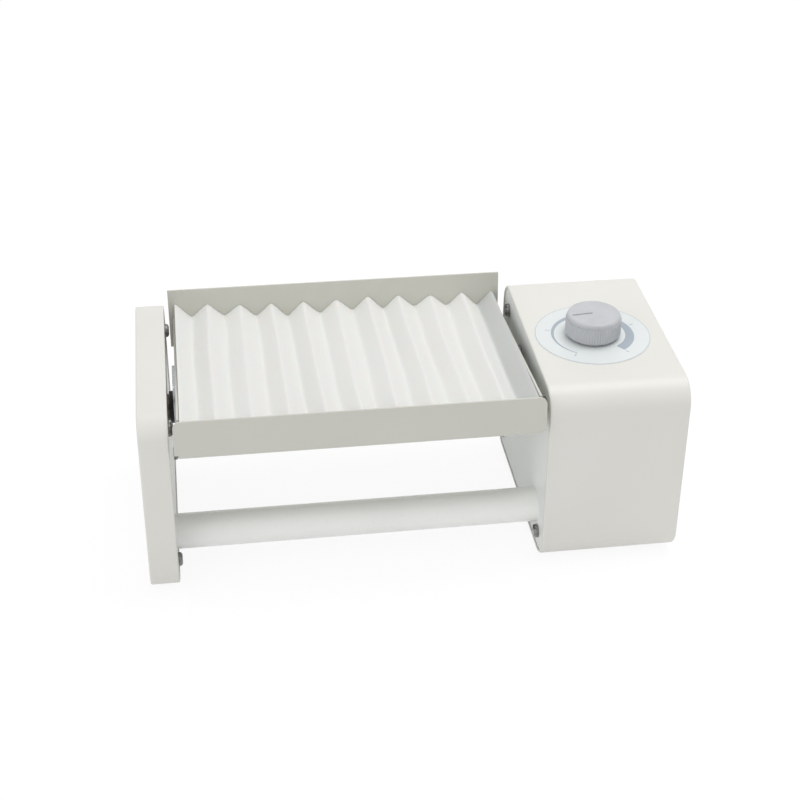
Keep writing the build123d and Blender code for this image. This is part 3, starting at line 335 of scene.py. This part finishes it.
def mesh_piece(name, points, faces, material, smooth_below=35):
    """A mesh object from arrays of points and faces, smooth up to that angle."""
    mesh = bpy.data.meshes.new(name)
    mesh.from_pydata(points.reshape(-1, 3), [], faces)
    mesh.update()
    mesh.shade_smooth()
    mesh.set_sharp_from_angle(angle=math.radians(smooth_below))
    mesh.materials.append(material)
    piece = bpy.data.objects.new(name, mesh)
    bpy.context.scene.collection.objects.link(piece)
    return piece


print("pivot", pivot.round(4))

# %% [markdown]
# The foam could be a scaled copy of the plain solid, but real foam is never that even:
# its crests differ a little in height, their lines wander, and the end that is pushed
# against the wall at the post stands higher. At the front the mat is tucked down
# behind the wall. The top is one height field over x and y: a rounded zigzag plus
# slow waves. Each slow wave is a row of size, length in y, turn per wave and start.

# %% The height of the foam
WAVES = 10
MAT_X = tuple(corner[0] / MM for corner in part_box("wave_mat"))
MAT_HALF_DEPTH = 85.2
MAT_BASE = 5.9
VALLEY, CREST = 27.4, 36.4
CREST_SHARPNESS = 0.94
FRONT_TUCK = 6.8
PUSHED_UP, PUSHED_WAVES = 3.2, 1.6
SLACK_END, SLACK_WAVES = 0.8, 0.8
WANDER = ((0.018, 38, 1.7, 0), (0.010, 17, 0.9, 0))
SWELL = ((0.10, math.inf, 2.1, 0.6), (0.05, 25, 1.0, 0))
SWAY = ((0.6, math.inf, 1.25, 0.3), (0.35, 30, 0.6, 0))


def slow_waves(rows, wave, y):
    """The sum of size * sin(y / length + wave * turn + start) over the rows."""
    return sum(size * np.sin(y / length + wave * turn + start)
               for size, length, turn, start in rows)


def foam_top(x, y):
    """asin(k cos(turns)) is the rounded zigzag; waves, a raised end and a tuck are added."""
    wave = (x - MAT_X[0]) / (MAT_X[1] - MAT_X[0]) * WAVES
    turns = 2 * np.pi * (wave + slow_waves(WANDER, wave, y))
    zigzag = np.arcsin(CREST_SHARPNESS * np.cos(turns)) / np.arcsin(CREST_SHARPNESS)
    from_front = 0.5 + y / (2 * MAT_HALF_DEPTH)
    raised = PUSHED_UP * np.exp(-wave / PUSHED_WAVES) * from_front
    slack = SLACK_END * np.exp(-(WAVES - wave) / SLACK_WAVES)
    middle = (VALLEY + CREST) / 2 + slow_waves(SWAY, wave, y)
    half_height = (CREST - VALLEY) / 2 * (1 + slow_waves(SWELL, wave, y))
    return middle + half_height * zigzag + raised - slack - FRONT_TUCK * (1 - from_front)


print("foam from x", round(MAT_X[0], 1), "to", round(MAT_X[1], 1), "mm")

# %% [markdown]
# The top is a grid of points at that height, and the base is the same grid laid flat.
# Walking once round the rim of both gives the faces of the four sides, so the mat is
# one closed body.

# %% The foam mat
SAMPLES_PER_WAVE, DEEP = 26, 70


def grid_faces(rows, columns, first=0):
    """Quads of a rows by columns grid of points, numbered along the rows."""
    i, j = np.meshgrid(np.arange(rows - 1), np.arange(columns - 1), indexing="ij")
    a = first + i * columns + j
    return np.stack([a, a + columns, a + columns + 1, a + 1], -1).reshape(-1, 4)


wide = WAVES * SAMPLES_PER_WAVE + 1
grid_x, grid_y = np.meshgrid(np.linspace(*MAT_X, wide),
                             np.linspace(-1, 1, DEEP) * MAT_HALF_DEPTH)
top = np.stack([grid_x, grid_y, foam_top(grid_x, grid_y)], -1)
base = np.stack([grid_x, grid_y, np.full_like(grid_x, MAT_BASE)], -1)
rim_points = np.concatenate([
    np.arange(wide), np.arange(1, DEEP) * wide + wide - 1,
    (DEEP - 1) * wide + np.arange(wide - 2, -1, -1), np.arange(DEEP - 2, 0, -1) * wide])
below = rim_points + DEEP * wide
mat_faces = np.concatenate([
    grid_faces(DEEP, wide)[:, ::-1], grid_faces(DEEP, wide, DEEP * wide),
    np.stack([rim_points, below, np.roll(below, -1), np.roll(rim_points, -1)], -1)])
foam_mat = mesh_piece("foam_mat", tip(np.concatenate([top.reshape(-1, 3), base.reshape(-1, 3)])),
                      mat_faces.tolist(), foam, 60)
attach(foam_mat, "rocking_tray")
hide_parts("wave_mat")
print("foam mat", len(mat_faces), "faces, top from", round(float(top[..., 2].min()), 1),
      "to", round(float(top[..., 2].max()), 1), "mm")

# %% [markdown]
# The dial is a film with its scale printed on it. A pattern in the material would do
# from above, but a thin layer of ink keeps its shape in every export. Each mark is a
# strip between two radii with a rectangle for its section, carried along an arc.

# %% One printed strip
dial_low, dial_high = (np.array(corner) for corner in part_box("dial_plate"))
dial_centre = (dial_low + dial_high) / 2
DIAL_RADIUS = (dial_high[0] - dial_low[0]) / 2 / MM
INK = 0.05


def ink_strip(angles, inner, outer):
    """Points (r cos, r sin, height) for four corners at each angle; a full circle is joined."""
    turn = np.radians(np.asarray(angles, float))
    inner, outer = (np.broadcast_to(np.asarray(r, float), turn.shape) for r in (inner, outer))
    section = [(inner, 0.0), (outer, 0.0), (outer, INK), (inner, INK)]
    rows = [np.stack([r * np.cos(turn), r * np.sin(turn), np.full_like(turn, height)], -1)
            for r, height in section]
    points = np.stack(rows, 1).reshape(-1, 3) * MM + np.array([*dial_centre[:2], dial_high[2]])
    n = len(turn)
    i, side = np.meshgrid(np.arange(n - 1), np.arange(4), indexing="ij")
    a, b = 4 * i + side, 4 * i + (side + 1) % 4
    faces = np.stack([a, a + 4, b + 4, b], -1).reshape(-1, 4)
    if math.isclose(abs(turn[-1] - turn[0]), 2 * math.pi):
        faces, points = faces % (4 * n - 4), points[:-4]
    else:
        last = 4 * n - 1
        faces = np.concatenate([faces, [[0, 1, 2, 3], [last, last - 1, last - 2, last - 3]]])
    return points, faces if turn[-1] > turn[0] else faces[:, ::-1]


print("dial radius", round(DIAL_RADIUS, 2), "mm")

# %% [markdown]
# The scale is a band that starts thin, goes clockwise round the knob and ends thick,
# with five ticks outside it and a fine outline near the rim. All of them are one
# layer of ink, so they become one piece.

# %% The print on the dial
START_ANGLE, END_ANGLE = 235.6, -54.2
BAND_OUTER = 28.6
BAND_THIN, BAND_THICK = 0.5, 7.0
BAND_STEPS, RIM_STEPS = 145, 181
TICKS = 5
TICK_HALF_ANGLE = 0.55
TICK_FROM, TICK_TO = BAND_OUTER + 1.2, BAND_OUTER + 4.2
RIM_INSET = (0.55, 0.3)

thickness = np.linspace(BAND_THIN, BAND_THICK, BAND_STEPS)
strips = [ink_strip(np.linspace(START_ANGLE, END_ANGLE, BAND_STEPS),
                    BAND_OUTER - thickness, BAND_OUTER)]
strips += [ink_strip((angle - TICK_HALF_ANGLE, angle + TICK_HALF_ANGLE), TICK_FROM, TICK_TO)
           for angle in np.linspace(START_ANGLE, END_ANGLE, TICKS)]
strips.append(ink_strip(np.linspace(0, 360, RIM_STEPS),
                        DIAL_RADIUS - RIM_INSET[0], DIAL_RADIUS - RIM_INSET[1]))
firsts = np.cumsum([0] + [len(points) for points, _ in strips])
dial_ink = mesh_piece(
    "dial_ink", np.concatenate([points for points, _ in strips]),
    np.concatenate([faces + first for (_, faces), first in zip(strips, firsts)]).tolist(),
    print_ink, 30)
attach(dial_ink, "stand")
print("dial print", len(dial_ink.data.polygons), "faces")

# %% [markdown]
# The camera stands where the photographer stood: above and a little left of the
# middle, looking right and down, with a longish lens. Its turn is written as three
# angles, and its axes are worked out from them, so each number means one thing. The
# lens axis goes through a pixel off the middle, which becomes the camera's shift.

# %% The camera
FRAME_PIXELS = 800
CAMERA_YAW, CAMERA_PITCH, CAMERA_ROLL = (math.radians(a) for a in (-9.93, 32.1225, 1.4858))
CAMERA_PLACE = Vector((-137.24, -965.71, 708.55)) * MM
FOCAL_PIXELS = 1656.7
AXIS_PIXEL = (448, 392)
SENSOR = 36.0

level_right = Vector((math.cos(CAMERA_YAW), math.sin(CAMERA_YAW), 0))
forward = Vector((-math.sin(CAMERA_YAW) * math.cos(CAMERA_PITCH),
                  math.cos(CAMERA_YAW) * math.cos(CAMERA_PITCH), -math.sin(CAMERA_PITCH)))
level_up = level_right.cross(forward)
right = level_right * math.cos(CAMERA_ROLL) + level_up * math.sin(CAMERA_ROLL)
up = level_up * math.cos(CAMERA_ROLL) - level_right * math.sin(CAMERA_ROLL)
camera_data = bpy.data.cameras.new("camera")
camera_data.sensor_width = SENSOR
camera_data.lens = FOCAL_PIXELS * SENSOR / FRAME_PIXELS
camera_data.shift_x = (FRAME_PIXELS / 2 - AXIS_PIXEL[0]) / FRAME_PIXELS
camera_data.shift_y = (AXIS_PIXEL[1] - FRAME_PIXELS / 2) / FRAME_PIXELS
camera = bpy.data.objects.new("camera", camera_data)
axes = Matrix((right, up, -forward)).transposed()
camera.matrix_world = Matrix.Translation(CAMERA_PLACE) @ axes.to_4x4()
bpy.context.scene.collection.objects.link(camera)
bpy.context.scene.camera = camera
print("lens", round(camera_data.lens, 2), "shift", camera_data.shift_x, camera_data.shift_y)

# %% [markdown]
# The photograph was taken on white in a light tent: one big soft box high up and to
# the right, and white all round. One area lamp is the soft box, and a weaker one fills
# in from the front left.

# %% Lamps
LAMP_TARGET = Vector((0, 0, 80)) * MM


def area_lamp(name, azimuth, elevation, distance, size, watts):
    """A square lamp aimed at the object: azimuth 0 is the front and 90 the right."""
    a, e = math.radians(azimuth), math.radians(elevation)
    away = Vector((math.sin(a) * math.cos(e), -math.cos(a) * math.cos(e), math.sin(e)))
    data = bpy.data.lights.new(name, "AREA")
    data.shape, data.size, data.energy = "SQUARE", size, watts
    lamp = bpy.data.objects.new(name, data)
    lamp.location = LAMP_TARGET + away * distance
    lamp.rotation_euler = (-away).to_track_quat("-Z", "Y").to_euler()
    bpy.context.scene.collection.objects.link(lamp)
    return lamp


key = area_lamp("key_soft_box", azimuth=110, elevation=72, distance=1.5, size=0.9, watts=9.6)
fill = area_lamp("front_fill", azimuth=-50, elevation=22, distance=1.8, size=1.4, watts=5.4)
print("lamps", round(key.data.energy, 1), round(fill.data.energy, 1), "W")

# %% [markdown]
# The world is the tent. Camera, glossy and transmission rays see plain white in it,
# while the light that falls on the object stays moderate, so that the paint keeps its
# own tone.

# %% The world
TENT_LIGHT = 0.62
PLAIN_WHITE = 1.0


def sees_white(tree):
    """1 for camera, glossy and transmission rays, 0 for the rays that only carry light."""
    rays = add(tree, "ShaderNodeLightPath").outputs
    shiny = add(tree, "ShaderNodeMath", {"operation": "MAXIMUM"}, i0=rays["Is Glossy Ray"],
                i1=rays["Is Transmission Ray"])
    seen = add(tree, "ShaderNodeMath", {"operation": "MAXIMUM"}, i0=rays["Is Camera Ray"],
               i1=shiny.outputs[0])
    return seen.outputs[0]


world = bpy.data.worlds.new("light_tent")
bpy.context.scene.world = world
world.use_nodes = True
sky = world.node_tree
sky.nodes.clear()
tent = add(sky, "ShaderNodeBackground", Color=linear("#FFFFFF"), Strength=TENT_LIGHT)
white = add(sky, "ShaderNodeBackground", Color=linear("#FFFFFF"), Strength=PLAIN_WHITE)
choose = add(sky, "ShaderNodeMixShader", i0=sees_white(sky), i1=tent.outputs[0],
             i2=white.outputs[0])
add(sky, "ShaderNodeOutputWorld", Surface=choose.outputs[0])
print("tent light", TENT_LIGHT)

# %% [markdown]
# The floor is a sheet of white paper. In the photograph it is burnt out to plain
# white, and hardly a shadow is left. The sheet is a diffuse white that takes the
# object's shadow, mixed with a white glow for the rays that see white. The glow lifts
# it to the background's white and leaves the shadow as a breath of gray.

# %% The floor
FLOOR_GLOW = 0.86
GLOW_STRENGTH = 1.04
FIBRE = 3 * MM
SHEET = 8.0
paper, paper_tree, paper_shader = new_material("white_paper_sweep", Roughness=0.9)
paper_place = add(paper_tree, "ShaderNodeTexCoord").outputs["Object"]
fibres = add(paper_tree, "ShaderNodeTexNoise", Vector=paper_place, Scale=1 / FIBRE, Detail=3.0)
fibre_share = add(paper_tree, "ShaderNodeMapRange", Value=fibres.outputs[0],
                  i1=NOISE_SPAN[0], i2=NOISE_SPAN[1])
paper_colour = add(paper_tree, "ShaderNodeMix", {"data_type": "RGBA"},
                   Factor=fibre_share.outputs[0], i6=linear("#F6F6F6"), i7=linear("#F9F9F9"))
paper_tree.links.new(paper_colour.outputs[2], paper_shader.inputs["Base Color"])
glow = add(paper_tree, "ShaderNodeEmission", Color=linear("#FFFFFF"), Strength=GLOW_STRENGTH)
lift = add(paper_tree, "ShaderNodeMath", {"operation": "MULTIPLY"}, i0=sees_white(paper_tree),
           i1=FLOOR_GLOW)
lifted = add(paper_tree, "ShaderNodeMixShader", i0=lift.outputs[0], i1=paper_shader.outputs[0],
             i2=glow.outputs[0])
paper_tree.links.new(lifted.outputs[0], paper_tree.nodes["Material Output"].inputs["Surface"])
corners = np.array([[-1, -1, 0], [1, -1, 0], [1, 1, 0], [-1, 1, 0]]) * SHEET / 2
floor = mesh_piece("floor", corners, [[0, 1, 2, 3]], paper)
bpy.context.scene.view_settings.view_transform = "Standard"
print("floor", SHEET, "m wide")
